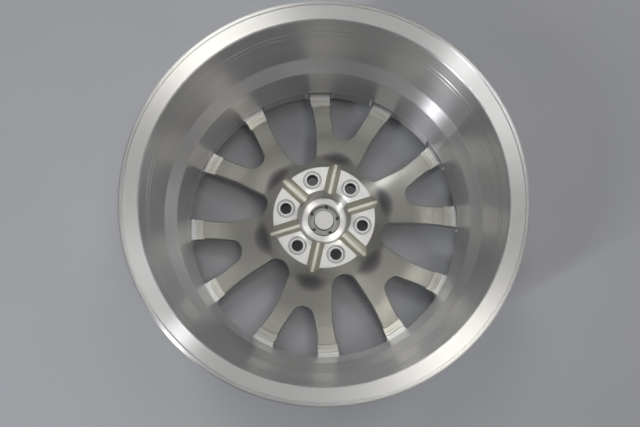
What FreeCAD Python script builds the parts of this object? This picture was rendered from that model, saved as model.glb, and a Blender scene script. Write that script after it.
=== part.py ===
"""Six-lug one-piece forged road wheel, 22 x 9.5 J, with its snap-in centre cap.

Frame: the origin is the centre of the hub mounting face, +Z points out of that face towards the vehicle,
and +X runs along the middle of one Y-shaped spoke. Lengths are in millimetres, angles in degrees.
"""
import FreeCAD, Part
import math
import os

# ---- rim size -------------------------------------------------------------------------------------------
SEAT_DIA = 558.0          # bead seat diameter of a 22 inch rim
RIM_WIDTH = 241.3         # 9.5 inches between the flanges
FLANGE_HEIGHT = 17.7      # bead seat to flange tip
FLANGE_WIDTH = 12.7       # axial width of each flange
OFFSET = 20.0             # mounting face to rim centre plane, towards the street side
FLANGE_R = SEAT_DIA / 2 + FLANGE_HEIGHT
INBOARD_Z = RIM_WIDTH / 2 + FLANGE_WIDTH + OFFSET
OUTBOARD_Z = INBOARD_Z - RIM_WIDTH - 2 * FLANGE_WIDTH

# ---- rim section ----------------------------------------------------------------------------------------
SEAT_R = SEAT_DIA / 2     # bead seat at the foot of the flange
SEAT_WIDTH = 21.0         # axial width of each bead seat
SEAT_DROP = 1.8           # fall of the five degree seat over its width
HUMP_DROP = 0.8           # safety hump below the foot of the flange
SHELL_DROP = 6.6          # tyre side of the long inboard shell below the bead seat
SHELL_WALL = 6.4
WELL_DROP = 13.0          # drop well below the shell
WELL_WALL = 6.4
SHELL_OUT_R = SEAT_R - SHELL_DROP
SHELL_IN_R = SHELL_OUT_R - SHELL_WALL
WELL_OUT_R = SHELL_OUT_R - WELL_DROP
WELL_IN_R = WELL_OUT_R - WELL_WALL        # narrowest part of the barrel
HUMP_R = SEAT_R - HUMP_DROP
LIP_WIDTH = 6.3           # rolled flange lip
LIP_STEP = 1.3            # lip above the dished flange face
MOUTH_DEPTH = 5.2         # flange lip to barrel mouth
LAND_STEP = 1.6           # barrel behind the first turned land, outside the shell
MOUTH_STEP = 1.1
LIP_IN_R = FLANGE_R - LIP_WIDTH
LAND_R = SHELL_IN_R + LAND_STEP
MOUTH_R = LAND_R + MOUTH_STEP
LAND_Z = INBOARD_Z - 33.0
LAND_2_Z = INBOARD_Z - 41.0
CONE_TOP_Z = 50.0
CONE_FOOT_Z = 25.0
WELL_EDGE_Z = -47.0       # edge of the well that overhangs the spoke ends
WELL_END_Z = -33.0        # street-side end of the well on the tyre side
UNDERCUT = 11.5           # barrel wall behind that edge, outside the well
UNDERCUT_R = WELL_IN_R + UNDERCUT
UNDERCUT_Z = -56.0
UNDERCUT_END_Z = -72.0
FRONT_IN_R = UNDERCUT_R + 3.0     # street-side barrel
DISC_R = FRONT_IN_R + 1.0         # the disc runs this far into the rim wall

# ---- spoke disc -----------------------------------------------------------------------------------------
PAD_R = 91.0              # mounting face
FLANK_R = 120.0           # foot of the steep hub flank
FLANK_Z = -32.0
ARM_R = 184.0             # where the spoke back levels out
ARM_Z = -57.0
TURN_WIDTH = 23.0         # turned band at the spoke ends, inside the well edge
TURN_R = WELL_IN_R - TURN_WIDTH
TURN_Z = -59.5
TURN_STEP = 2.2
TURN_FLAT_R = TURN_R + 11.0
TURN_RISE = 1.8           # bead between the two turned lands
FRONT_HUB_Z = -46.0       # street-side hub face
FRONT_HUB_R = 98.0
FRONT_FOOT_Z = -78.5      # street side at ARM_R
FRONT_RIM_Z = -84.0       # street side at the rim

# ---- windows --------------------------------------------------------------------------------------------
SPOKES = 6
SPOKE_PITCH = 360.0 / SPOKES
SEAM_ANGLE = 14.5         # the turned blanks start here, inside an arm
WINDOW_END_R = WELL_IN_R + 4.4    # outer corners of the windows, behind the well edge
WINDOW_CROWN_R = WINDOW_END_R + 6.2
WINDOW_CROWN = 200.0      # radius of the corner there, on the window's middle line
EDGE_ROUND = 2.2          # rounding of the window edges on the vehicle side
FRONT_EDGE_ROUND = 3.0    # and on the street side
# corners of half an outline: along the window's middle line, across it, and the corner radius
FORK_WINDOW = ((163.6, 13.6, 20.0), (213.0, 34.6, 150.0), (WINDOW_END_R, 46.2, 11.0))
WIDE_WINDOW = ((106.3, 17.5, 23.3), (183.0, 41.0, 250.0), (WINDOW_END_R, 49.2, 12.0))

# ---- hub ------------------------------------------------------------------------------------------------
BORE_R = 43.55            # hub centring bore
BORE_MOUTH_R = 48.6       # long lead-in chamfer of the bore
BORE_MOUTH_DEPTH = 17.0
LEDGE_Z = -31.0           # ledge that the cap clips hook over
LEDGE_ROUND = 4.5         # hollow corner between bore and ledge
CAP_BORE_R = 29.0
CAP_RECESS_R = 38.0
CAP_RECESS_DEPTH = 5.0
LUG_COUNT = 6
LUG_PCD = 139.7
LUG_HOLE_R = 9.0
LUG_RING_R = 14.0         # shallow ring turned around each hole
LUG_RING_WIDTH = 2.0
LUG_RING_DEPTH = 0.9
NUT_POCKET_R = 18.0
NUT_POCKET_Z = -24.0
NUT_SEAT_R = 14.0         # mouth of the sixty degree nut seat
NUT_SEAT_HALF_ANGLE = 30.0

# ---- hub grooves ----------------------------------------------------------------------------------------
GROOVE_HALF = 11.4        # half width at the mounting face
GROOVE_FLOOR_HALF = 2.4
GROOVE_DEPTH = 10.0
GROOVE_FLANK_SAG = 1.6    # how far the flanks are dished
GROOVE_IN_R = 30.0
GROOVE_OUT_R = 125.0

# ---- valve hole -----------------------------------------------------------------------------------------
VALVE_ANGLE = 90.0
VALVE_HOLE_R = 5.65
VALVE_AT = (267.0, -54.5)     # radius and height of the hole's middle
VALVE_LEAN = 30.5             # axis above the radial direction

# ---- centre cap -----------------------------------------------------------------------------------------
CAP_CLEARANCE = 0.35      # cap body to its bore, each side
CAP_FACE_R = 37.0
CAP_FACE_T = 3.0
CAP_DOME = 1.5
CAP_BODY_R = CAP_BORE_R - CAP_CLEARANCE
CAP_WALL = 2.6
CAP_FINGER = 4.0          # spring fingers above the ledge
CAP_TOP_Z = LEDGE_Z + CAP_FINGER
CAP_FLOOR_Z = -36.0       # annular floor seen from the vehicle side
CAP_BOSS_R = 17.7
CAP_BOSS_Z = -31.0
CAP_BARB = 1.3
CAP_BARB_LENGTH = 3.4
CAP_SLOTS = 5
CAP_SLOT_WIDTH = 6.0
CAP_SLOT_START = -9.5


def at(radius, height):
    """A point of a section in the XZ plane."""
    return FreeCAD.Vector(radius, 0, height)


def rounded_wire(corners):
    """A closed wire through (point, radius) corners, each corner replaced by its tangent arc."""
    edges = []
    starts = []
    ends = []
    mids = []
    count = len(corners)
    for i in range(count):
        point, radius = corners[i]
        before = corners[i - 1][0] - point
        after = corners[(i + 1) % count][0] - point
        before.normalize()
        after.normalize()
        half = before.getAngle(after) / 2
        if radius <= 0 or abs(half - math.pi / 2) < 1e-4:
            starts.append(point)
            ends.append(point)
            mids.append(None)
            continue
        reach = radius / math.tan(half)
        inward = before + after
        inward.normalize()
        centre = point + inward * (radius / math.sin(half))
        starts.append(point + before * reach)
        ends.append(point + after * reach)
        mids.append(centre - inward * radius)
    for i in range(count):
        if mids[i] is not None:
            edges.append(Part.Arc(starts[i], mids[i], ends[i]).toShape())
        follow = starts[(i + 1) % count]
        if (follow - ends[i]).Length > 1e-4:
            edges.append(Part.LineSegment(ends[i], follow).toShape())
    return Part.Wire(edges)


def turned(corners, start=0.0):
    """The solid turned from a section about the Z axis, its seam at the start angle."""
    wire = rounded_wire([(at(r, z), radius) for r, z, radius in corners])
    wire.rotate(FreeCAD.Vector(0, 0, 0), FreeCAD.Vector(0, 0, 1), start)
    return Part.Face(wire).revolve(FreeCAD.Vector(0, 0, 0), FreeCAD.Vector(0, 0, 1), 360)


def tyre_side():
    """Rim section on the tyre side, from the vehicle-side lip to the street-side lip."""
    seat_in = INBOARD_Z - FLANGE_WIDTH
    seat_out = OUTBOARD_Z + FLANGE_WIDTH
    heel = SEAT_R - SEAT_DROP
    return [
        (FLANGE_R, INBOARD_Z, 3.4),
        (FLANGE_R, INBOARD_Z - 8.2, 3.0),
        (SEAT_R + 12.5, seat_in, 8.5),
        (SEAT_R + 0.4, seat_in, 6.0),
        (heel, seat_in - SEAT_WIDTH, 2.0),
        (HUMP_R, seat_in - SEAT_WIDTH - 3.0, 4.0),
        (SHELL_OUT_R, seat_in - SEAT_WIDTH - 14.0, 12.0),
        (SHELL_OUT_R, CONE_TOP_Z - 1.0, 10.0),
        (WELL_OUT_R, CONE_FOOT_Z - 3.0, 10.0),
        (WELL_OUT_R, WELL_END_Z, 10.0),
        (HUMP_R, seat_out + SEAT_WIDTH + 5.0, 4.0),
        (heel, seat_out + SEAT_WIDTH, 2.0),
        (SEAT_R + 0.4, seat_out, 6.0),
        (SEAT_R + 12.5, seat_out, 8.5),
        (FLANGE_R, OUTBOARD_Z + 8.2, 3.0),
        (FLANGE_R, OUTBOARD_Z, 3.4),
    ]


def barrel_side():
    """Rim section inside, from the street-side lip up the barrel to the vehicle-side lip."""
    return [
        (LIP_IN_R, OUTBOARD_Z, 1.5),
        (LIP_IN_R - 1.0, OUTBOARD_Z + LIP_STEP, 0.8),
        (FRONT_IN_R + 1.0, OUTBOARD_Z + MOUTH_DEPTH, 3.0),
        (FRONT_IN_R, FRONT_RIM_Z - 6.0, 3.0),
        (UNDERCUT_R, UNDERCUT_END_Z, 0),
        (UNDERCUT_R, UNDERCUT_Z, 2.5),
        (WELL_IN_R, WELL_EDGE_Z, 1.2),
        (WELL_IN_R, CONE_FOOT_Z, 6.0),
        (SHELL_IN_R, CONE_TOP_Z, 4.0),
        (LAND_R - 0.4, LAND_2_Z, 0.6),
        (LAND_R, LAND_2_Z + 0.8, 0.5),
        (LAND_R, LAND_Z, 0.6),
        (LAND_R + 0.6, LAND_Z + 1.0, 0.5),
        (MOUTH_R, INBOARD_Z - MOUTH_DEPTH - 2.0, 1.5),
        (MOUTH_R + 1.6, INBOARD_Z - MOUTH_DEPTH, 1.5),
        (LIP_IN_R - 1.0, INBOARD_Z - LIP_STEP, 0.8),
        (LIP_IN_R, INBOARD_Z, 1.5),
    ]


def disc_side():
    """Disc section from the cap bore over the mounting face and spoke back, and back over the concave face."""
    return [
        (CAP_BORE_R, LEDGE_Z, 0.8),
        (BORE_R, LEDGE_Z, LEDGE_ROUND),
        (BORE_R, -BORE_MOUTH_DEPTH, 2.0),
        (BORE_MOUTH_R, 0, 0.6),
        (PAD_R, 0, 0.8),
        (FLANK_R, FLANK_Z, 34.0),
        (ARM_R, ARM_Z, 90.0),
        (DISC_R, TURN_Z, 0),
        (DISC_R, FRONT_RIM_Z - 9.0, 0),
        (DISC_R - 10.5, FRONT_RIM_Z, 9.0),
        (ARM_R, FRONT_FOOT_Z, 90.0),
        (FLANK_R + 2.0, FRONT_HUB_Z - 9.0, 30.0),
        (FRONT_HUB_R, FRONT_HUB_Z, 12.0),
        (CAP_RECESS_R, FRONT_HUB_Z, 1.0),
        (CAP_RECESS_R, FRONT_HUB_Z + CAP_RECESS_DEPTH, 0.8),
        (CAP_BORE_R, FRONT_HUB_Z + CAP_RECESS_DEPTH, 0.6),
    ]


def turned_band():
    """The ring of metal turned off the spoke ends: two lands with a bead between them."""
    floor = TURN_Z - TURN_STEP
    return turned([
        (TURN_R, TURN_Z + 8, 0),
        (TURN_R, TURN_Z - 0.4, 0),
        (TURN_R + TURN_STEP, floor, 1.2),
        (TURN_FLAT_R, floor, 2.0),
        (TURN_FLAT_R + 3.0, floor + TURN_RISE, 1.4),
        (TURN_FLAT_R + 6.5, floor, 2.0),
        (DISC_R + 1, floor, 0),
        (DISC_R + 1, TURN_Z + 8, 0),
    ])


def window_cutter(half_outline):
    """A prism through the disc with the outline of one window, about the X axis."""
    upper = [(FreeCAD.Vector(x, y, 0), radius) for x, y, radius in half_outline]
    lower = [(FreeCAD.Vector(x, -y, 0), radius) for x, y, radius in reversed(half_outline)]
    crown = [(FreeCAD.Vector(WINDOW_CROWN_R, 0, 0), WINDOW_CROWN)]
    wire = rounded_wire(upper + crown + lower)
    wire.translate(FreeCAD.Vector(0, 0, OUTBOARD_Z - 5))
    return Part.Face(wire).extrude(FreeCAD.Vector(0, 0, -5 - OUTBOARD_Z))


def around(shape, count, start):
    """Copies of a shape set evenly about the Z axis."""
    copies = []
    for i in range(count):
        copy = shape.copy()
        copy.rotate(FreeCAD.Vector(0, 0, 0), FreeCAD.Vector(0, 0, 1), start + i * 360.0 / count)
        copies.append(copy)
    return copies


def groove_cutter():
    """A groove with dished flanks and a narrow flat floor, along the X axis."""
    top = 2.0
    slope = (GROOVE_HALF - GROOVE_FLOOR_HALF) / GROOVE_DEPTH
    edges = []
    corners = []
    for side in (-1, 1):
        outer = FreeCAD.Vector(GROOVE_IN_R, side * GROOVE_HALF, 0)
        floor = FreeCAD.Vector(GROOVE_IN_R, side * GROOVE_FLOOR_HALF, -GROOVE_DEPTH)
        half_way = (GROOVE_HALF + GROOVE_FLOOR_HALF) / 2
        middle = FreeCAD.Vector(GROOVE_IN_R, side * (half_way + GROOVE_FLANK_SAG / 2), -GROOVE_DEPTH / 2)
        middle.z = middle.z - GROOVE_FLANK_SAG / 2
        brim = FreeCAD.Vector(GROOVE_IN_R, side * (GROOVE_HALF + slope * top * 0.2), top)
        corners.append((outer, floor, middle, brim))
    left, right = corners
    edges.append(Part.LineSegment(left[3], left[0]).toShape())
    edges.append(Part.Arc(left[0], left[2], left[1]).toShape())
    edges.append(Part.LineSegment(left[1], right[1]).toShape())
    edges.append(Part.Arc(right[1], right[2], right[0]).toShape())
    edges.append(Part.LineSegment(right[0], right[3]).toShape())
    edges.append(Part.LineSegment(right[3], left[3]).toShape())
    section = Part.Face(Part.Wire(edges))
    return section.extrude(FreeCAD.Vector(GROOVE_OUT_R - GROOVE_IN_R, 0, 0))


def lug_cutters():
    """Stud hole with its nut seat, and the shallow ring around its mouth, of one lug on the X axis."""
    seat_fall = (NUT_SEAT_R - LUG_HOLE_R) / math.tan(math.radians(NUT_SEAT_HALF_ANGLE))
    deep = FRONT_HUB_Z - 20
    hole = turned([
        (0, 5, 0),
        (LUG_HOLE_R, 5, 0),
        (LUG_HOLE_R, NUT_POCKET_Z + seat_fall, 0),
        (NUT_SEAT_R, NUT_POCKET_Z, 0),
        (NUT_POCKET_R, NUT_POCKET_Z, 1.5),
        (NUT_POCKET_R, deep, 0),
        (0, deep, 0),
    ])
    ring = turned([
        (LUG_RING_R, 5, 0),
        (LUG_RING_R + LUG_RING_WIDTH, 5, 0),
        (LUG_RING_R + LUG_RING_WIDTH, -LUG_RING_DEPTH * 0.6, 0),
        (LUG_RING_R, -LUG_RING_DEPTH, 0),
    ])
    for cutter in (hole, ring):
        cutter.translate(FreeCAD.Vector(LUG_PCD / 2, 0, 0))
    return [hole, ring]


def valve_cutter():
    """The valve hole through the street-side wall of the well."""
    lean = math.radians(VALVE_LEAN)
    axis = FreeCAD.Vector(math.cos(lean), 0, math.sin(lean))
    middle = at(VALVE_AT[0], VALVE_AT[1])
    hole = Part.makeCylinder(VALVE_HOLE_R, 40, middle - axis * 20, axis)
    return around(hole, 1, VALVE_ANGLE)[0]


def window_edges(disc):
    """The edges of the window walls with the back and with the face of the disc."""
    back = []
    front = []
    for face in disc.Faces:
        surface = face.Surface
        kind = surface.TypeId
        if kind == "Part::GeomPlane":
            upright = abs(surface.Axis.z) < 1e-6
        elif kind == "Part::GeomCylinder":
            upright = math.hypot(surface.Center.x, surface.Center.y) > 10
        else:
            upright = False
        if not upright:
            continue
        middle_z = face.CenterOfMass.z
        for edge in face.Edges:
            box = edge.BoundBox
            if box.XLength < 1e-3 and box.YLength < 1e-3:
                continue
            if edge.CenterOfMass.z > middle_z:
                back.append(edge)
            else:
                front.append(edge)
    return back, front


def make_disc():
    """Hub and spokes: turned, windows milled and their edges rounded, then the spoke ends turned."""
    disc = turned(disc_side(), SEAM_ANGLE)
    windows = around(window_cutter(FORK_WINDOW), SPOKES, 0)
    windows += around(window_cutter(WIDE_WINDOW), SPOKES, SPOKE_PITCH / 2)
    disc = disc.cut(windows)
    disc = disc.makeFillet(EDGE_ROUND, window_edges(disc)[0])
    disc = disc.makeFillet(FRONT_EDGE_ROUND, window_edges(disc)[1])
    return disc.cut(turned_band())


def make_wheel():
    """The whole forging: rim and disc in one, then grooves, lug holes and the valve hole."""
    rim = turned(tyre_side() + barrel_side(), SEAM_ANGLE)
    wheel = rim.fuse(make_disc())
    cutters = around(groove_cutter(), SPOKES, 0)
    for cutter in lug_cutters():
        cutters += around(cutter, LUG_COUNT, SPOKE_PITCH / 2)
    cutters.append(valve_cutter())
    wheel = wheel.cut(cutters)
    return wheel


def make_cap():
    """The snap-in centre cap: face, body with a raised boss, and five sprung fingers."""
    face_z = FRONT_HUB_Z + CAP_RECESS_DEPTH
    cap = turned([
        (0, face_z - CAP_FACE_T - CAP_DOME, 0),
        (CAP_FACE_R * 0.6, face_z - CAP_FACE_T - CAP_DOME, 40.0),
        (CAP_FACE_R, face_z - CAP_FACE_T, 0.8),
        (CAP_FACE_R, face_z, 0.4),
        (CAP_BODY_R, face_z, 0),
        (CAP_BODY_R, LEDGE_Z, 0.2),
        (CAP_BODY_R + CAP_BARB, LEDGE_Z + CAP_BARB, 0.2),
        (CAP_BODY_R, LEDGE_Z + CAP_BARB_LENGTH, 0.3),
        (CAP_BODY_R, CAP_TOP_Z, 0.5),
        (CAP_BODY_R - CAP_WALL, CAP_TOP_Z, 0.5),
        (CAP_BODY_R - CAP_WALL, CAP_FLOOR_Z, 0.8),
        (CAP_BOSS_R + 0.8, CAP_FLOOR_Z, 0.8),
        (CAP_BOSS_R, CAP_BOSS_Z, 0.6),
        (0, CAP_BOSS_Z, 0),
    ])
    slot = Part.makeBox(10, CAP_SLOT_WIDTH, 20)
    slot.translate(FreeCAD.Vector(CAP_BODY_R - CAP_WALL - 1.2, -CAP_SLOT_WIDTH / 2, CAP_FLOOR_Z - 1.0))
    for cutter in around(slot, CAP_SLOTS, CAP_SLOT_START):
        cap = cap.cut(cutter)
    return cap.removeSplitter()


os.makedirs("parts", exist_ok=True)
make_wheel().exportStep("parts/wheel.step")
make_cap().exportStep("parts/centre_cap.step")
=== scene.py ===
"""Six-lug forged road wheel lying face down, seen from its vehicle side, in a plain studio."""
import math

import bpy
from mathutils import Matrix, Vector


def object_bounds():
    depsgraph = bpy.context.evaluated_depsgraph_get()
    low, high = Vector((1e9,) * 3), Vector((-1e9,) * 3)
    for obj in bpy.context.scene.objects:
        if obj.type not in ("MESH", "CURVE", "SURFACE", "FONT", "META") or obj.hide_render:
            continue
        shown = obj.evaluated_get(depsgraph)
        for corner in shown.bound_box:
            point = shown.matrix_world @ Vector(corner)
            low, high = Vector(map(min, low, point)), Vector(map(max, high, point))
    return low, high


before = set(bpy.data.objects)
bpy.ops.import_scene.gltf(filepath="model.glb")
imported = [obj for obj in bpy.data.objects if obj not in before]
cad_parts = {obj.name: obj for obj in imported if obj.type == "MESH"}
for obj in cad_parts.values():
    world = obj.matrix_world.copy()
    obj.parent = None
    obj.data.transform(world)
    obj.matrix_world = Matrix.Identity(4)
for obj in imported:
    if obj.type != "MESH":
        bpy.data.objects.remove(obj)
cad_low, cad_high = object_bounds()

# ---- floor ----------------------------------------------------------------------------------------------
# A plain pale sheet under the street-side rim lip, swept up behind the wheel.
# Views from low at the side look past the end of the sheet.
sheet_half = 6.0
sheet_top = 4.0
sweep_from = 2.2
sweep_radius = 1.2
sweep_steps = 16
profile = [(-sheet_half, 0.0), (sweep_from, 0.0)]
for step in range(1, sweep_steps + 1):
    t = math.pi / (2 * sweep_steps) * step
    profile.append((sweep_from + sweep_radius * math.sin(t), sweep_radius - sweep_radius * math.cos(t)))
profile.append((sweep_from + sweep_radius, sheet_top))
verts = []
for y, z in profile:
    verts += [(-sheet_half, y, z + cad_low.z), (sheet_half, y, z + cad_low.z)]
faces = [(2 * k, 2 * k + 1, 2 * k + 3, 2 * k + 2) for k in range(len(profile) - 1)]
floor_mesh = bpy.data.meshes.new("floor")
floor_mesh.from_pydata(verts, [], faces)
for polygon in floor_mesh.polygons:
    polygon.use_smooth = True
floor = bpy.data.objects.new("floor", floor_mesh)
bpy.context.scene.collection.objects.link(floor)


def new_material(name):
    material = bpy.data.materials.new(name)
    material.use_nodes = True
    tree = material.node_tree
    return material, tree.nodes, tree.links.new, tree.nodes["Principled BSDF"]


def noise(vector, scale, detail, roughness=0.5):
    node = nodes.new("ShaderNodeTexNoise")
    for name, number in (("Scale", scale), ("Detail", detail), ("Roughness", roughness)):
        node.inputs[name].default_value = number
    link(vector, node.inputs["Vector"])
    return node.outputs["Fac"]


paper, nodes, link, shade = new_material("pale_paper")
shade.inputs["Roughness"].default_value = 0.85
shade.inputs["Specular IOR Level"].default_value = 0.2
tone = nodes.new("ShaderNodeValToRGB")
greys = ((0.3, (0.56, 0.58, 0.61, 1)), (0.7, (0.60, 0.61, 0.64, 1)))
for stop, (position, grey) in zip(tone.color_ramp.elements, greys):
    stop.position = position
    stop.color = grey
link(noise(nodes.new("ShaderNodeTexCoord").outputs["Object"], 3.0, 6.0), tone.inputs["Fac"])
link(tone.outputs["Color"], shade.inputs["Base Color"])
floor_mesh.materials.append(paper)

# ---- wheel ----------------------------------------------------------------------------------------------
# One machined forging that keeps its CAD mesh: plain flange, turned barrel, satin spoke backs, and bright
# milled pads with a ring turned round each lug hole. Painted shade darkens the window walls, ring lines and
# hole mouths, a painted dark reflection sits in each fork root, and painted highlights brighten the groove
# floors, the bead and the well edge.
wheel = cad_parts["wheel"]
metal, nodes, link, shade = new_material("machined_aluminium")
shade.inputs["Metallic"].default_value = 1.0
shade.inputs["Anisotropic"].default_value = 1.0
shade.inputs["Anisotropic Rotation"].default_value = 0.25


def put(socket, value):
    if isinstance(value, bpy.types.NodeSocket):
        link(value, socket)
    else:
        socket.default_value = value


def calc(operation, first, second=0.0):
    node = nodes.new("ShaderNodeMath")
    node.operation = operation
    put(node.inputs[0], first)
    put(node.inputs[1], second)
    return node.outputs[0]


def ramp(value, low, high):
    """A soft step from 0 at low to 1 at high; high may be the smaller of the two."""
    node = nodes.new("ShaderNodeMapRange")
    node.interpolation_type = "SMOOTHSTEP"
    for name, number in (("Value", value), ("From Min", low), ("From Max", high)):
        put(node.inputs[name], number)
    return node.outputs["Result"]


def line(value, middle, half, soft):
    """1 within half of the middle, fading out over soft."""
    return ramp(calc("ABSOLUTE", calc("SUBTRACT", value, middle)), half + soft, half)


def both(*masks):
    result = masks[0]
    for mask in masks[1:]:
        result = calc("MULTIPLY", result, mask)
    return result


def blend(mask, under, over):
    node = nodes.new("ShaderNodeMix")
    node.data_type = "RGBA"
    for number, value in ((0, mask), (6, under), (7, over)):
        put(node.inputs[number], value)
    return node.outputs[2]


def wrap(turn, period):
    return calc("SUBTRACT", calc("FLOORED_MODULO", turn, period), period / 2)


def round_noise(spacing, swirl, detail, roughness=0.5):
    """Noise that depends on radius and height and hardly on the angle, like a tool's marks."""
    node = nodes.new("ShaderNodeCombineXYZ")
    marks = [(radius, spacing), (z, spacing)]
    if swirl:
        marks.append((calc("SINE", angle), swirl))
    for socket, (value, factor) in zip(node.inputs, marks):
        put(socket, calc("MULTIPLY", value, factor))
    return noise(node.outputs[0], 1.0, detail, roughness)


def length(first, second):
    return calc("SQRT", calc("ADD", calc("MULTIPLY", first, first), calc("MULTIPLY", second, second)))


def places():
    """The object's coordinates, then x, y, z and the distance from the axis in millimetres."""
    object_place = nodes.new("ShaderNodeTexCoord").outputs["Object"]
    split = nodes.new("ShaderNodeSeparateXYZ")
    link(object_place, split.inputs[0])
    x, y, z = [calc("MULTIPLY", split.outputs[k], 1000.0) for k in range(3)]
    return object_place, x, y, z, length(x, y)


def bump(height, strength, distance):
    node = nodes.new("ShaderNodeBump")
    node.inputs["Strength"].default_value = strength
    node.inputs["Distance"].default_value = distance
    link(height, node.inputs["Height"])
    link(node.outputs[0], shade.inputs["Normal"])


def dress(piece, material):
    piece.data.materials.clear()
    piece.data.materials.append(material)


# Radii and heights in millimetres, from the wheel's axis and from its mounting face.
lug_circle = 69.85
lug_mouth = 10.2
lug_ring_inner = 13.9
lug_ring_outer = 16.1
bore_edge = 50.0
milled_from = 58.0
milled_to = 229.0
pad_edge = 92.0
pad_low = -2.0
groove_half = 11.4
groove_floor = -11.5
# Half width of the painted highlight along the middle of each groove floor.
highlight_strip_half = 2.6
# Where each fork root's painted dark reflection sits and how far it reaches.
root_at = 119.0
root_reflection_long = 15.0
root_reflection_wide = 27.0
arm_end = 250.0
bead_at = 246.5
well_edge_r = 255.0
well_edge_z = -47.0
barrel_low = 251.5
barrel_high = 270.0
barrel_floor = -62.0
flange_low = 146.0
sixth = math.pi / 3

where, x, y, z, radius = places()
angle = calc("ARCTAN2", y, x)
from_arm = wrap(calc("ADD", angle, sixth / 2), sixth)
from_lug = wrap(angle, sixth)
arm_side = calc("ABSOLUTE", calc("MULTIPLY", radius, calc("SINE", from_arm)))
lug_x = calc("SUBTRACT", calc("MULTIPLY", radius, calc("COSINE", from_lug)), lug_circle)
lug_y = calc("MULTIPLY", radius, calc("SINE", from_lug))
lug_far = length(lug_x, lug_y)
facing = nodes.new("ShaderNodeNewGeometry")
turned = nodes.new("ShaderNodeVectorTransform")
turned.vector_type = "NORMAL"
turned.convert_from = "WORLD"
turned.convert_to = "OBJECT"
link(facing.outputs["Normal"], turned.inputs[0])
lean = nodes.new("ShaderNodeSeparateXYZ")
link(turned.outputs[0], lean.inputs[0])
up = lean.outputs[2]

rings = round_noise(0.55, 0.35, 4.0, 0.7)
wide = round_noise(0.07, 0.9, 3.0)
satin = noise(where, 420.0, 5.0)

in_barrel = both(ramp(radius, barrel_low - 2.0, barrel_low), ramp(radius, barrel_high + 1.5, barrel_high),
                 ramp(z, barrel_floor - 18.0, barrel_floor))
on_flange = both(ramp(radius, barrel_high - 1.8, barrel_high), ramp(z, flange_low - 6.0, flange_low))
within_pad = ramp(radius, pad_edge + 1.0, pad_edge)
on_pad = both(ramp(z, pad_low - 0.6, pad_low), within_pad, ramp(up, 0.6, 0.9))
in_groove = both(ramp(arm_side, groove_half + 0.8, groove_half),
                 ramp(radius, pad_edge + 15.0, pad_edge + 8.0),
                 ramp(z, groove_floor - 2.5, groove_floor), ramp(z, -0.4, -1.0))
on_back = both(ramp(radius, pad_edge - 4.0, pad_edge + 2.0), ramp(radius, arm_end + 2.0, arm_end),
               ramp(up, 0.35, 0.7))
# Painted shade: the window walls, which face sideways, are darkened.
window_wall_painted_shade = both(ramp(radius, pad_edge + 4.0, pad_edge + 12.0), ramp(radius, arm_end, arm_end - 3.0),
               ramp(calc("ABSOLUTE", up), 0.5, 0.2))
# Painted highlight: a pale strip along the middle of each groove floor.
groove_floor_painted_highlight = both(in_groove, ramp(arm_side, highlight_strip_half + 0.7, highlight_strip_half))
# Painted reflection: a soft dark patch on each fork root, where the hollow reflects shade.
root_reflection_far = calc("ADD", calc("POWER", calc("DIVIDE", calc("SUBTRACT", radius, root_at), root_reflection_long), 2.0),
                calc("POWER", calc("DIVIDE", arm_side, root_reflection_wide), 2.0))
root_painted_reflection = both(ramp(root_reflection_far, 1.6, 0.0), on_back)
# Painted shade: dark lines at the steps of the ring turned round each lug hole.
ring_lines_painted_shade = both(on_pad, calc("MAXIMUM", line(lug_far, lug_ring_inner, 0.4, 0.6),
                            line(lug_far, lug_ring_outer, 0.3, 0.5)))
# Painted shade: the mouths of the lug holes are darkened nearly to black.
mouth_painted_shade = both(ramp(lug_far, lug_mouth + 1.0, lug_mouth), within_pad,
                ramp(radius, bore_edge, bore_edge + 2.0))
# Painted highlight: a near-white band along the bead at the spoke ends.
bead_painted_highlight = both(ramp(up, 0.3, 0.6), line(radius, bead_at, 2.8, 1.5), ramp(z, -20.0, -30.0))
# Painted highlight: a thin near-white line along the well edge.
well_edge_painted_highlight = both(ramp(radius, barrel_low - 1.0, barrel_low + 0.5),
                    ramp(radius, well_edge_r + 1.5, well_edge_r), line(z, well_edge_z, 2.0, 1.6))

colour = blend(wide, (0.66, 0.655, 0.635, 1), (0.78, 0.775, 0.755, 1))
colour = blend(in_barrel, colour, blend(wide, (0.66, 0.66, 0.675, 1), (0.77, 0.77, 0.78, 1)))
colour = blend(on_back, colour, blend(satin, (0.60, 0.595, 0.535, 1), (0.74, 0.735, 0.67, 1)))
for mask, over in (
    # painted shade on the window walls
    (window_wall_painted_shade, (0.50, 0.50, 0.47, 1)),
    (on_flange, (0.70, 0.70, 0.685, 1)),
    (in_groove, (0.66, 0.65, 0.56, 1)),
    # painted highlight on the groove floors
    (groove_floor_painted_highlight, (0.86, 0.85, 0.76, 1)),
    (on_pad, (0.97, 0.97, 0.94, 1)),
    # painted dark reflection in the fork roots
    (calc("MULTIPLY", root_painted_reflection, 0.75), (0.20, 0.185, 0.215, 1)),
    # painted shade at the lug ring steps
    (calc("MULTIPLY", ring_lines_painted_shade, 0.85), (0.20, 0.20, 0.22, 1)),
    # painted shade in the lug hole mouths
    (calc("MULTIPLY", mouth_painted_shade, 0.9), (0.12, 0.12, 0.14, 1)),
    # painted highlight on the bead
    (calc("MULTIPLY", bead_painted_highlight, 0.9), (0.97, 0.97, 0.93, 1)),
    # painted highlight on the well edge
    (calc("MULTIPLY", well_edge_painted_highlight, 0.9), (0.97, 0.97, 0.98, 1)),
):
    colour = blend(mask, colour, over)
link(colour, shade.inputs["Base Color"])

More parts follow.
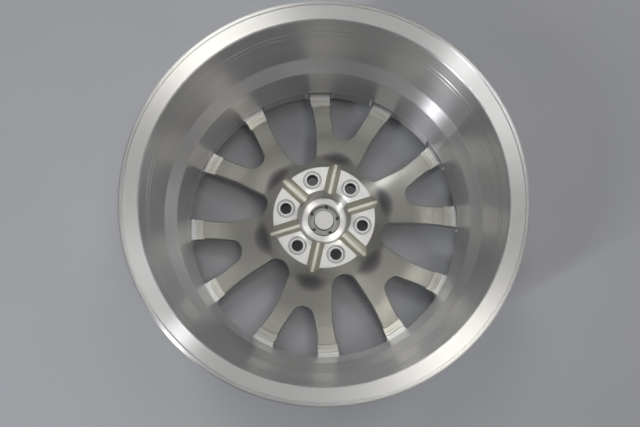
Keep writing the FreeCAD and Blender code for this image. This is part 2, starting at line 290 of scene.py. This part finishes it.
rough = calc("ADD", 0.30, calc("MULTIPLY", rings, 0.06))
rough = calc("SUBTRACT", rough, calc("MULTIPLY", in_barrel, 0.02))
for mask, more in ((on_back, 0.10), (on_pad, 0.12), (in_groove, 0.12), (on_flange, 0.08)):
    rough = calc("ADD", rough, calc("MULTIPLY", mask, more))
link(rough, shade.inputs["Roughness"])

# Turned faces are drawn out round the axis. Milled and blasted ones have no grain: their tangent is random.
tangent = nodes.new("ShaderNodeTangent")
tangent.direction_type = "RADIAL"
tangent.axis = "Z"
scatter = nodes.new("ShaderNodeTexWhiteNoise")
link(where, scatter.inputs["Vector"])
centred = nodes.new("ShaderNodeVectorMath")
centred.operation = "SUBTRACT"
link(scatter.outputs["Color"], centred.inputs[0])
centred.inputs[1].default_value = (0.5, 0.5, 0.5)
grainless = calc("MAXIMUM", both(ramp(radius, milled_to + 2.0, milled_to),
                                 ramp(radius, milled_from - 2.0, milled_from)), in_groove)
aim = nodes.new("ShaderNodeMix")
aim.data_type = "VECTOR"
for number, value in ((0, grainless), (4, tangent.outputs[0]), (5, centred.outputs[0])):
    put(aim.inputs[number], value)
link(aim.outputs[1], shade.inputs["Tangent"])
bump(rings, 0.25, 0.0004)
dress(wheel, metal)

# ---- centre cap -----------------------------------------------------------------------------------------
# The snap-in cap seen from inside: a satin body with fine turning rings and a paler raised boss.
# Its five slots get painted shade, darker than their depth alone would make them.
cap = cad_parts["centre_cap"]
cap_metal, nodes, link, shade = new_material("satin_cap")
shade.inputs["Metallic"].default_value = 0.6
boss_edge = 17.4
boss_low = -32.0
slot_ring = 25.0
slot_half = 2.8
slot_top = -34.0
slot_turn = math.radians(9.5)
fifth = 2 * math.pi / 5

where, x, y, z, radius = places()
rings = round_noise(1.2, 0.0, 3.0)
on_boss = both(ramp(radius, boss_edge + 0.8, boss_edge), ramp(z, boss_low - 1.0, boss_low))
from_slot = wrap(calc("ADD", calc("ARCTAN2", y, x), slot_turn + fifth / 2), fifth)
slot_side = calc("ABSOLUTE", calc("MULTIPLY", radius, calc("SINE", from_slot)))
# Painted shade: the inside of each of the five slots is darkened.
slot_painted_shade = both(ramp(slot_side, slot_half + 0.8, slot_half), line(radius, slot_ring, 2.6, 0.5),
               ramp(z, slot_top + 1.0, slot_top))
colour = blend(rings, (0.31, 0.31, 0.30, 1), (0.42, 0.42, 0.40, 1))
colour = blend(on_boss, colour, blend(rings, (0.58, 0.58, 0.56, 1), (0.68, 0.68, 0.66, 1)))
# painted shade in the slots
colour = blend(slot_painted_shade, colour, (0.07, 0.07, 0.08, 1))
link(colour, shade.inputs["Base Color"])
link(calc("ADD", 0.36, calc("MULTIPLY", rings, 0.14)), shade.inputs["Roughness"])
bump(rings, 0.2, 0.0003)
dress(cap, cap_metal)

# ---- light ----------------------------------------------------------------------------------------------
# A dim grey room with five panels: four broad ones high round the wheel, one of them warm, and a narrow
# key, lower down, that draws the streak on the barrel. All of them face the wheel's middle.
world = bpy.data.worlds.new("room")
bpy.context.scene.world = world
world.use_nodes = True
world.node_tree.nodes["Background"].inputs["Color"].default_value = (0.40, 0.40, 0.44, 1)
world.node_tree.nodes["Background"].inputs["Strength"].default_value = 0.30

# Each panel: name, azimuth and elevation in degrees, distance and size in metres, watts, colour.
panels = [
    ("panel_left", 95.0, 57.0, 2.4, (0.6, 0.9), 8.0, (1.0, 0.985, 0.95)),
    ("panel_right", -42.0, 70.0, 2.4, (0.5, 0.6), 5.0, (1.0, 0.95, 0.88)),
    ("panel_back", 28.0, 60.0, 2.4, (0.45, 0.6), 4.0, (1.0, 0.99, 1.0)),
    ("overhead", 72.0, 82.0, 2.2, (0.5, 0.5), 3.0, (1.0, 0.99, 0.97)),
    ("key", 196.5, 36.0, 2.6, (0.09, 0.8), 16.0, (0.97, 0.98, 1.0)),
]
for name, azimuth, elevation, distance, size, power, tint in panels:
    lamp = bpy.data.lights.new(name, "AREA")
    lamp.shape = "RECTANGLE"
    lamp.size, lamp.size_y = size
    lamp.energy = power
    lamp.color = tint
    holder = bpy.data.objects.new(name, lamp)
    a, e = math.radians(azimuth), math.radians(elevation)
    holder.location = Vector((math.cos(a) * math.cos(e), math.sin(a) * math.cos(e), math.sin(e))) * distance
    holder.rotation_euler = holder.location.to_track_quat("Z", "Y").to_euler()
    bpy.context.scene.collection.objects.link(holder)

# ---- camera ---------------------------------------------------------------------------------------------
# Nearly straight above the hub, about 0.6 m over the upper rim and leaning by four degrees.
# The small lens shift keeps the wheel in the frame.
lens = bpy.data.cameras.new("camera")
lens.lens = 24.5025
lens.sensor_width = 36.0
lens.shift_x = -0.0077
lens.shift_y = 0.0843
lens.clip_start = 0.01
lens.dof.use_dof = False
camera = bpy.data.objects.new("camera", lens)
camera.location = (-0.04596, -0.13904, 0.76821)
camera.rotation_euler = [math.radians(v) for v in (4.1832, -0.2739, -17.45)]
bpy.context.scene.collection.objects.link(camera)
bpy.context.scene.camera = camera
bpy.context.scene.view_settings.view_transform = "Standard"
